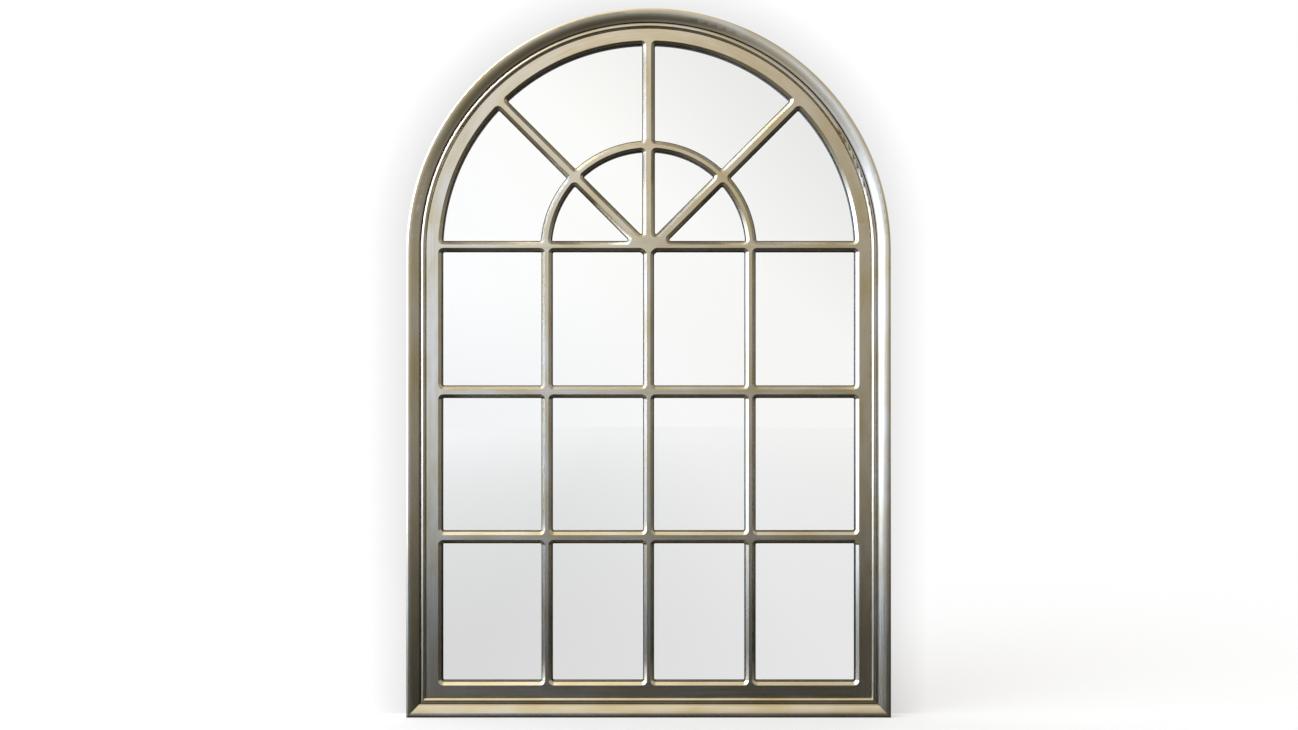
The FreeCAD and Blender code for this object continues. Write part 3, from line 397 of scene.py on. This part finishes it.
# Float glass: soda-lime glass cast on tin, water clear with a trace of green
glass, _, glass_shader = new_material("float_glass")
glass_shader.inputs["Base Color"].default_value = linear("#FEFFFE")
glass_shader.inputs["Transmission Weight"].default_value = 1.0
glass_shader.inputs["IOR"].default_value = 1.52
glass_shader.inputs["Roughness"].default_value = 0.0

# Silver laid on the glass from a solution, so it is as smooth as the glass
silver, _, silver_shader = new_material("mirror_silver")
silver_shader.inputs["Base Color"].default_value = linear("#FDFDFD")
silver_shader.inputs["Metallic"].default_value = 1.0
silver_shader.inputs["Roughness"].default_value = 0.0

# Paint on the card's side and a hair of air on the bars' side keep the glass off its neighbours
AIR = 0.05 * MM
sheet = closed_sheet("mirror_sheet", outline, sheet_low.y + AIR, sheet_high.y - AIR)
sheet.data.materials.append(glass)
sheet.data.materials.append(silver)
sheet.data.polygons[1].material_index = 1
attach(sheet, "mirror")
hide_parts("mirror_glass")
print("mirror sheet with", len(sheet.data.polygons), "faces")

# %% [markdown]
# ## The back
# Nobody sees the back on the wall, so it is plain: brown hardboard, zinc-plated steel and black rubber.
# Hardboard is wood fibre pressed flat, so its pattern is a tangle of short hairs. It is drawn as two noises,
# one stretched each way, which costs little and reads as fibre from a step away.

# %% Hardboard
board, tree, shader = new_material("hardboard")
place = add(tree, "ShaderNodeTexCoord").outputs["Object"]
FIBRE = (1.2 * MM, 9 * MM)
FIBRE_HEIGHT = 0.05 * MM
CLOUD = 180 * MM
hairs = []
for sizes in ((FIBRE[0], 1, FIBRE[1]), (FIBRE[1], 1, FIBRE[0])):
    stretch = add(tree, "ShaderNodeMapping", {"Vector": place, "Scale": [1 / size for size in sizes]})
    hair = add(tree, "ShaderNodeTexNoise", {"Vector": stretch.outputs[0], "Scale": 1, "Detail": 4})
    hairs.append(hair.outputs[0])
tangle = add(tree, "ShaderNodeMath", {0: hairs[0], 1: hairs[1]}, operation="MAXIMUM").outputs[0]
clouds = add(tree, "ShaderNodeTexNoise", {"Vector": place, "Scale": 1 / CLOUD, "Detail": 2}).outputs[0]
tone = add(tree, "ShaderNodeMath", {0: tangle, 1: clouds}, operation="MULTIPLY").outputs[0]
paleness = add(tree, "ShaderNodeMapRange", {"Value": tone, 1: 0.15, 2: 0.45, 3: 0.0, 4: 1.0}).outputs[0]
tones = {"Factor": paleness, "A": linear("#67482F"), "B": linear("#755338")}
brown = add(tree, "ShaderNodeMix", tones, data_type="RGBA")
pressed = add(tree, "ShaderNodeBump", {"Height": tangle, "Distance": FIBRE_HEIGHT})
tree.links.new(brown.outputs["Result"], shader.inputs["Base Color"])
tree.links.new(pressed.outputs[0], shader.inputs["Normal"])
shader.inputs["Roughness"].default_value = 0.55
dress(board, "back_panel")
print("hardboard with fibres of", FIBRE, "m")

# %% [markdown]
# Zinc goes onto steel from a bath and is then dipped, which leaves it bright with a faint bloom, bluish in
# some places and yellowish in others. So one noise of 6 mm shifts both its colour and its roughness.

# %% Zinc-plated steel
BLOOM = 6 * MM
zinc, tree, shader = new_material("zinc_plated_steel")
place = add(tree, "ShaderNodeTexCoord").outputs["Object"]
bloom = add(tree, "ShaderNodeTexNoise", {"Vector": place, "Scale": 1 / BLOOM, "Detail": 3}).outputs[0]
satin = add(tree, "ShaderNodeMapRange", {"Value": bloom, 1: 0.3, 2: 0.7, 3: 0.24, 4: 0.42}).outputs[0]
tones = {"Factor": bloom, "A": linear("#C9CCD0"), "B": linear("#B4B2A6")}
plate = add(tree, "ShaderNodeMix", tones, data_type="RGBA")
tree.links.new(plate.outputs["Result"], shader.inputs["Base Color"])
tree.links.new(satin, shader.inputs["Roughness"])
shader.inputs["Metallic"].default_value = 1.0
dress(zinc, "back_panel_screws", "hanger_screws", "left_hanger_strap", "right_hanger_strap")
dress(zinc, "left_hanger_ring", "right_hanger_ring")
print("zinc on screws, straps and rings")

# %% [markdown]
# The last three are alike in kind: a matt surface of two close tones, whose grain also stands out a little.
# Moulded rubber has the same grain all ways, and beech and card have it drawn out along the height.


# %% Rubber, beech and card
def plain_finish(name, dark, light, roughness, grain, height):
    """Tone = dark to light by a noise of the given grain in metres, which also raises the surface."""
    material, tree, shader = new_material(name)
    place = add(tree, "ShaderNodeTexCoord").outputs["Object"]
    stretch = add(tree, "ShaderNodeMapping", {"Vector": place, "Scale": [1 / size for size in grain]})
    noise = add(tree, "ShaderNodeTexNoise", {"Vector": stretch.outputs[0], "Scale": 1, "Detail": 3})
    tones = {"Factor": noise.outputs[0], "A": linear(dark), "B": linear(light)}
    mixed = add(tree, "ShaderNodeMix", tones, data_type="RGBA")
    bump = add(tree, "ShaderNodeBump", {"Height": noise.outputs[0], "Distance": height})
    tree.links.new(mixed.outputs["Result"], shader.inputs["Base Color"])
    tree.links.new(bump.outputs[0], shader.inputs["Normal"])
    shader.inputs["Roughness"].default_value = roughness
    return material


# Each: two tones, roughness, grain, and the height of its bumps
rubber = plain_finish("moulded_rubber", "#151515", "#242423", 0.7, (2 * MM, 2 * MM, 2 * MM), 0.03 * MM)
beech = plain_finish("beech", "#B98F62", "#D0A97C", 0.5, (1 * MM, 1 * MM, 8 * MM), 0.03 * MM)
card = plain_finish("brown_card", "#8E6B45", "#A98257", 0.85, (3 * MM, 3 * MM, 12 * MM), 0.05 * MM)
dress(rubber, "wall_bumpers", "glass_pads")
dress(beech, "joint_dowels", "corner_biscuits")
dress(card, "interleaf_sheet")
print("rubber, beech and card are on")

# %% [markdown]
# ## The studio
# The mirror stands in a white room, and that plain white is what the camera, the mirror glass and the
# metal's edges show. It would leave the satin metal without form, though, because metal shows what it faces.
# So what the metal's front faces is worked out apart, from direction alone, as in a real room: light from
# the left and dim to the right, a window low on the left and a patch of sky overhead.
#
# The first rule is the change from left to right. Higher up it comes later, so the edge between the two is
# counted along a leaning line. Its ends are levels of brightness where 1 is white.

# %% World: left and right
scene = bpy.context.scene
world = bpy.data.worlds.new("studio")
scene.world = world
tree = empty_tree(world)
direction = add(tree, "ShaderNodeTexCoord").outputs["Generated"]
parts = add(tree, "ShaderNodeSeparateXYZ", {0: direction}).outputs
LEAN = -0.35
LEFT_LOW, LEFT_HIGH = 1.3, 1.02
RIGHT_LOW, RIGHT_HIGH = 0.37, 0.6

terms = {0: parts["Z"], 1: LEAN, 2: parts["X"]}
lean = add(tree, "ShaderNodeMath", terms, operation="MULTIPLY_ADD").outputs[0]
limits = {1: 0.04, 2: 0.2, 3: LEFT_LOW, 4: LEFT_HIGH}
left_level = add(tree, "ShaderNodeMapRange", {"Value": parts["Z"], **limits}).outputs[0]
limits = {1: 0.02, 2: 0.2, 3: RIGHT_LOW, 4: RIGHT_HIGH}
right_level = add(tree, "ShaderNodeMapRange", {"Value": parts["Z"], **limits}).outputs[0]
limits = {1: -0.14, 2: 0.085, 3: left_level, 4: right_level}
side = add(tree, "ShaderNodeMapRange", {"Value": lean, **limits}, **SMOOTH).outputs[0]
print("from", LEFT_LOW, "on the left to", RIGHT_LOW, "on the right")

# %% [markdown]
# The window adds most far out on the left and fades low down, and it gives the right side's bead its bright
# band. The sky lights what faces straight up. On the right it takes a little light away instead, since that
# side of the ceiling is darker.

# %% World: window and sky
WINDOW_LEVEL = 3.0
WINDOW_DROP = -2.2
SKY_RIGHT, SKY_LEFT = -0.35, 0.65

lower = add(tree, "ShaderNodeMath", {0: parts["Z"], 1: 0.0}, operation="MINIMUM").outputs[0]
terms = {0: lower, 1: WINDOW_DROP, 2: parts["X"]}
aside = add(tree, "ShaderNodeMath", terms, operation="MULTIPLY_ADD").outputs[0]
limits = {1: -0.2, 2: -0.65, 3: 0.0, 4: WINDOW_LEVEL}
window = add(tree, "ShaderNodeMapRange", {"Value": aside, **limits}, **SMOOTH).outputs[0]
limits = {1: 0.12, 2: -0.08, 3: SKY_RIGHT, 4: SKY_LEFT}
above = add(tree, "ShaderNodeMapRange", {"Value": parts["X"], **limits}).outputs[0]
limits = {1: 0.85, 2: 0.99, 3: 0.0, 4: above}
sky = add(tree, "ShaderNodeMapRange", {"Value": parts["Z"], **limits}, **SMOOTH).outputs[0]
lit = add(tree, "ShaderNodeMath", {0: side, 1: window}, operation="ADD").outputs[0]
front = add(tree, "ShaderNodeMath", {0: lit, 1: sky}, operation="ADD").outputs[0]
print("window level", WINDOW_LEVEL)

# %% [markdown]
# Light from the left is daylight, a little blue, and the rest of the room is lit warm. The blue is left out
# of directions far down, which show the floor, and comes back faintly on the far right.

# %% World: tint
WARM_LIGHT, DAYLIGHT = "#FFF4DC", "#DFEAFF"
COOL_LEAN = 0.8
FAR_RIGHT_COOL = 0.2

terms = {0: parts["Z"], 1: COOL_LEAN, 2: parts["X"]}
cool_side = add(tree, "ShaderNodeMath", terms, operation="MULTIPLY_ADD").outputs[0]
limits = {1: -0.4, 2: -0.17, 3: 0.0, 4: 1.0}
not_low = add(tree, "ShaderNodeMapRange", {"Value": parts["Z"], **limits}).outputs[0]
limits = {1: 0.1, 2: -0.1, 3: 0.0, 4: not_low}
cool = add(tree, "ShaderNodeMapRange", {"Value": cool_side, **limits}, **SMOOTH).outputs[0]
limits = {1: 0.15, 2: 0.6, 3: 0.0, 4: FAR_RIGHT_COOL}
far_right = add(tree, "ShaderNodeMapRange", {"Value": parts["X"], **limits}, **SMOOTH).outputs[0]
coolness = add(tree, "ShaderNodeMath", {0: cool, 1: far_right}, operation="MAXIMUM").outputs[0]
tones = {"Factor": coolness, "A": linear(WARM_LIGHT), "B": linear(DAYLIGHT)}
tint = add(tree, "ShaderNodeMix", tones, data_type="RGBA").outputs["Result"]
print("tints", WARM_LIGHT, "and", DAYLIGHT)

# %% [markdown]
# ### What is plain white
# Three things see the plain white: the camera, the mirror, and whatever looks behind the mirror, such as the
# bead's outer edge. The mirror's share is light that has passed the glass and met only the silver. Its white
# has two faint veils of grey, in the upper right and the lower left, which keep the panes from being paper.


# %% World: plain white
def in_the_mirror(tree):
    """The light path, and its share seen in the mirror: through glass, times fewer than 1.5 reflections."""
    ray = add(tree, "ShaderNodeLightPath").outputs
    first = add(tree, "ShaderNodeMath", {0: ray["Glossy Depth"], 1: 1.5}, operation="LESS_THAN").outputs[0]
    both = {0: ray["Is Transmission Ray"], 1: first}
    return ray, add(tree, "ShaderNodeMath", both, operation="MULTIPLY").outputs[0]


VEIL_RIGHT, VEIL_LEFT = 0.14, 0.09
CORNER_LEAN = 0.8

ray, mirrored = in_the_mirror(tree)
limits = {1: -0.12, 2: 0.0, 3: 0.0, 4: 1.0}
not_below = add(tree, "ShaderNodeMapRange", {"Value": parts["Z"], **limits}).outputs[0]
limits = {1: 0.1, 2: 0.6, 3: 0.0, 4: not_below}
behind = add(tree, "ShaderNodeMapRange", {"Value": parts["Y"], **limits}, **SMOOTH).outputs[0]
seen = add(tree, "ShaderNodeMath", {0: ray["Is Camera Ray"], 1: mirrored}, operation="MAXIMUM").outputs[0]
plain = add(tree, "ShaderNodeMath", {0: seen, 1: behind}, operation="MAXIMUM").outputs[0]
terms = {0: parts["X"], 1: CORNER_LEAN, 2: parts["Z"]}
corner = add(tree, "ShaderNodeMath", terms, operation="MULTIPLY_ADD").outputs[0]
limits = {1: 0.11, 2: 0.22, 3: 0.0, 4: VEIL_RIGHT}
upper_right = add(tree, "ShaderNodeMapRange", {"Value": corner, **limits}).outputs[0]
limits = {1: 0.02, 2: -0.12, 3: 0.0, 4: VEIL_LEFT}
far_left = add(tree, "ShaderNodeMapRange", {"Value": parts["X"], **limits}).outputs[0]
limits = {1: 0.05, 2: -0.02, 3: 0.0, 4: far_left}
lower_left = add(tree, "ShaderNodeMapRange", {"Value": parts["Z"], **limits}).outputs[0]
both = add(tree, "ShaderNodeMath", {0: upper_right, 1: lower_left}, operation="ADD").outputs[0]
veil = add(tree, "ShaderNodeMath", {0: mirrored, 1: both}, operation="MULTIPLY").outputs[0]
level = add(tree, "ShaderNodeMath", {0: 1.0, 1: veil}, operation="SUBTRACT").outputs[0]
room = add(tree, "ShaderNodeBackground", {"Color": tint, "Strength": front}).outputs[0]
white = add(tree, "ShaderNodeBackground", {"Color": linear("#FFFFFF"), "Strength": level}).outputs[0]
shown = add(tree, "ShaderNodeMixShader", {0: plain, 1: room, 2: white}).outputs[0]
add(tree, "ShaderNodeOutputWorld", {"Surface": shown})
print("world set with veils of", VEIL_RIGHT, "and", VEIL_LEFT)

# %% [markdown]
# ### The floor
# A pale round floor carries the mirror and its soft shadow. Each kind of light meets it in its own way. The
# camera sees it lit as any surface, with part of its own white added, and far out only that white, so no
# horizon shows. The mirror glass sees a white that is a little dimmer near by.


# %% Floor: what camera and mirror see
def stage_sheet(name, points, material):
    """One flat face with the given corners and material, linked into the scene and not attached to the
    mirror.
    """
    mesh = bpy.data.meshes.new(name)
    mesh.from_pydata(points, [], [list(range(len(points)))])
    mesh.materials.append(material)
    sheet = bpy.data.objects.new(name, mesh)
    scene.collection.objects.link(sheet)
    return sheet


FLOOR_COLOUR = "#E0E1E3"
NEAR_WHITE = 0.42
DIM_NEAR, DIM_FAR = 0.24, 0.07

floor_paint = bpy.data.materials.new("floor_paint")
tree = empty_tree(floor_paint)
place = add(tree, "ShaderNodeTexCoord").outputs["Object"]
away = add(tree, "ShaderNodeVectorMath", {0: place}, operation="LENGTH").outputs["Value"]
across = add(tree, "ShaderNodeSeparateXYZ", {0: place}).outputs["X"]
ray, mirrored = in_the_mirror(tree)
limits = {1: 0.9, 2: 3.2, 3: NEAR_WHITE, 4: 1.0}
far = add(tree, "ShaderNodeMapRange", {"Value": away, **limits}, **SMOOTH).outputs[0]
direct = add(tree, "ShaderNodeMath", {0: ray["Is Camera Ray"], 1: far}, operation="MULTIPLY").outputs[0]
share = add(tree, "ShaderNodeMath", {0: direct, 1: mirrored}, operation="MAXIMUM").outputs[0]
dim = add(tree, "ShaderNodeMapRange", {"Value": away, 1: 1.0, 2: 12.0, 3: DIM_NEAR, 4: DIM_FAR}).outputs[0]
lighter = add(tree, "ShaderNodeMapRange", {"Value": across, 1: -0.4, 2: 0.4, 3: 1.0, 4: 0.5}).outputs[0]
dimmed = add(tree, "ShaderNodeMath", {0: dim, 1: lighter}, operation="MULTIPLY").outputs[0]
veil = add(tree, "ShaderNodeMath", {0: mirrored, 1: dimmed}, operation="MULTIPLY").outputs[0]
level = add(tree, "ShaderNodeMath", {0: 1.0, 1: veil}, operation="SUBTRACT").outputs[0]
paint = add(tree, "ShaderNodeBsdfDiffuse", {"Color": linear(FLOOR_COLOUR)}).outputs[0]
glow = add(tree, "ShaderNodeEmission", {"Color": linear("#FFFFFF"), "Strength": level}).outputs[0]
pale = add(tree, "ShaderNodeMixShader", {0: share, 1: paint, 2: glow}).outputs[0]
print("floor of", FLOOR_COLOUR, "with", NEAR_WHITE, "of its own white")

# %% [markdown]
# The metal sees something else again. A real room is darker low down, and so are the mirror's lower bars. So
# to the metal the floor is dark near the mirror and lets more and more of the room through with distance.
# The share grows with the root of the distance, and close to the foot it drops once more, because the
# mirror stands in its own light there.

# %% Floor: what metal sees
FLOOR_RADIUS = 14.0
FLOOR_STEPS = 96
OPEN_NEAR, OPEN_FAR = 0.14, 0.92
OPEN_AT_FOOT = 0.12

root = add(tree, "ShaderNodeMath", {0: away}, operation="SQRT").outputs[0]
limits = {1: 1.15, 2: 2.9, 3: OPEN_NEAR, 4: OPEN_FAR}
open_room = add(tree, "ShaderNodeMapRange", {"Value": root, **limits}).outputs[0]
limits = {1: 0.02, 2: 0.35, 3: OPEN_AT_FOOT, 4: 1.0}
at_foot = add(tree, "ShaderNodeMapRange", {"Value": away, **limits}).outputs[0]
through = add(tree, "ShaderNodeMath", {0: open_room, 1: at_foot}, operation="MULTIPLY").outputs[0]
dark = add(tree, "ShaderNodeEmission", {"Color": linear("#000000"), "Strength": 0.0}).outputs[0]
sheer = add(tree, "ShaderNodeBsdfTransparent").outputs[0]
shade = add(tree, "ShaderNodeMixShader", {0: through, 1: dark, 2: sheer}).outputs[0]
either = {0: ray["Is Glossy Ray"], 1: ray["Is Shadow Ray"]}
bounced = add(tree, "ShaderNodeMath", either, operation="MAXIMUM").outputs[0]
to_metal = add(tree, "ShaderNodeMath", {0: bounced, 1: mirrored}, operation="GREATER_THAN").outputs[0]
shown = add(tree, "ShaderNodeMixShader", {0: to_metal, 1: pale, 2: shade}).outputs[0]
add(tree, "ShaderNodeOutputMaterial", {"Surface": shown})

turn = np.linspace(0, 2 * math.pi, FLOOR_STEPS, endpoint=False)
rim = np.column_stack([FLOOR_RADIUS * np.cos(turn), FLOOR_RADIUS * np.sin(turn), np.full(FLOOR_STEPS, foot)])
stage_sheet("floor", rim.tolist(), floor_paint)
print("floor at", round(foot, 4))

# %% [markdown]
# ### The wall's shade
# The mirror stands close to a white wall, and round it the wall is a little shaded. Only that shade is made:
# a clear sheet with a veil of black in it, deepest beside the mirror and gone 75 mm away from it. Only the
# camera sees it, and only from the front, so it takes no light from the mirror and never hides its back.

# %% Wall shade
SHADE_REACH = 75 * MM
SHADE_DEPTH = 0.18
WALL_OFFSET = 0.5 * MM

shade_paint = bpy.data.materials.new("shaded_wall")
tree = empty_tree(shade_paint)
limits = {1: -SHADE_REACH, 2: 0.0, 3: 0.0, 4: SHADE_DEPTH}
shaded = add(tree, "ShaderNodeMapRange", {"Value": margin(tree), **limits}).outputs[0]
from_behind = add(tree, "ShaderNodeNewGeometry").outputs["Backfacing"]
in_front = add(tree, "ShaderNodeMath", {0: 1.0, 1: from_behind}, operation="SUBTRACT").outputs[0]
veiled = add(tree, "ShaderNodeMath", {0: shaded, 1: in_front}, operation="MULTIPLY").outputs[0]
clear = add(tree, "ShaderNodeBsdfTransparent").outputs[0]
black = add(tree, "ShaderNodeEmission", {"Color": linear("#000000"), "Strength": 0.0}).outputs[0]
shown = add(tree, "ShaderNodeMixShader", {0: veiled, 1: clear, 2: black}).outputs[0]
add(tree, "ShaderNodeOutputMaterial", {"Surface": shown})

edge, top, wall_y = half_width + SHADE_REACH, crown + SHADE_REACH, cad_high.y + WALL_OFFSET
corners = [(-edge, wall_y, foot), (edge, wall_y, foot), (edge, wall_y, top), (-edge, wall_y, top)]
wall = stage_sheet("wall_shade", corners, shade_paint)
wall.visible_diffuse = wall.visible_glossy = wall.visible_transmission = wall.visible_shadow = False
print("wall shade reaches", SHADE_REACH, "m from the mirror")

# %% [markdown]
# ### Lamp and camera
# One weak, large softbox on the upper left gives the floor its soft shadow. The photograph is taken square
# on. Its scale at the frame's crest and the camera's distance give the lens, and the frame's middle lies a
# few pixels off the photograph's.

# %% Lamp and camera
LAMP_WIDTH, LAMP_HEIGHT = 1.2, 1.6
LAMP_WATTS = 12
LAMP_PLACE = (-1.9, -1.5, 1.9)
lamp = bpy.data.lights.new("softbox", "AREA")
lamp.shape = "RECTANGLE"
lamp.size, lamp.size_y = LAMP_WIDTH, LAMP_HEIGHT
lamp.energy = LAMP_WATTS
softbox = bpy.data.objects.new("softbox", lamp)
scene.collection.objects.link(softbox)
softbox.location = LAMP_PLACE
toward_mirror = (cad_low + cad_high) / 2 - softbox.location
softbox.rotation_euler = toward_mirror.to_track_quat("-Z", "Y").to_euler()
softbox.visible_transmission = False

FRAME_WIDTH, FRAME_PIXELS = 900 * MM, 485.5
PIXEL = FRAME_WIDTH / FRAME_PIXELS
PHOTO_WIDTH = 1298 * PIXEL
MIDDLE_RIGHT, MIDDLE_UP = 0.4 * PIXEL, -2.2 * PIXEL
CAMERA_DISTANCE = 3.0
SENSOR = 36.0
camera_data = bpy.data.cameras.new("camera")
camera = bpy.data.objects.new("camera", camera_data)
scene.collection.objects.link(camera)
camera_data.sensor_width = SENSOR
camera_data.lens = SENSOR * CAMERA_DISTANCE / PHOTO_WIDTH
camera.location = (MIDDLE_RIGHT, cad_low.y - CAMERA_DISTANCE, MIDDLE_UP)
camera.rotation_euler = (math.pi / 2, 0, 0)
scene.camera = camera
scene.view_settings.view_transform = "Standard"
print(f"lens {camera_data.lens:.2f} mm")
